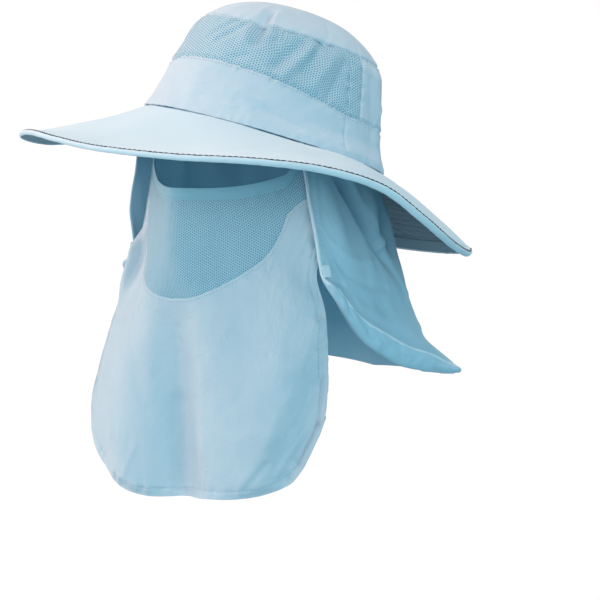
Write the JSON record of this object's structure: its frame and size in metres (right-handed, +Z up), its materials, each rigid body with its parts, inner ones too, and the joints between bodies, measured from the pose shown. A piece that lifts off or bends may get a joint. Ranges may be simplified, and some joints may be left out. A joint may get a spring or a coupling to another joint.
{
  "type": "flap sun hat",
  "caption": "Wide brimmed cloth sun hat with mesh vents in its crown, a flap round the neck and a face cover that hangs below the eyes",
  "frame": {"origin": "middle of the head opening, at the seam between crown and brim", "axes": "+Z is up, -Y is the way the face looks, +X is the wearer's left; crown and brim are tipped back 16 degrees and lean 6 degrees to the wearer's left, as worn, and the flap and the face cover hang plumb"},
  "size_m": [0.3672, 0.3427, 0.3702],
  "materials": {
    "hat_cloth": "plain woven cloth, matt",
    "mesh_cloth": "knitted mesh with small round holes, matt",
    "binding_cloth": "bias cut binding, matt",
    "flap_cloth": "thin smooth woven cloth with a faint sheen"
  },
  "bodies": {
    "root": {"crown_tip": "hat_cloth", "crown_band": "hat_cloth", "crown_vent": "mesh_cloth", "vent_strip_left": "mesh_cloth", "vent_strip_right": "mesh_cloth", "crown_back": "hat_cloth", "brim": "hat_cloth", "brim_binding": "binding_cloth", "neck_flap": "flap_cloth", "mask_top_band": "flap_cloth", "mask_vent": "mesh_cloth", "mask_veil": "flap_cloth", "side_tab_left": "binding_cloth", "side_tab_right": "binding_cloth"}
  },
  "joints": []
}
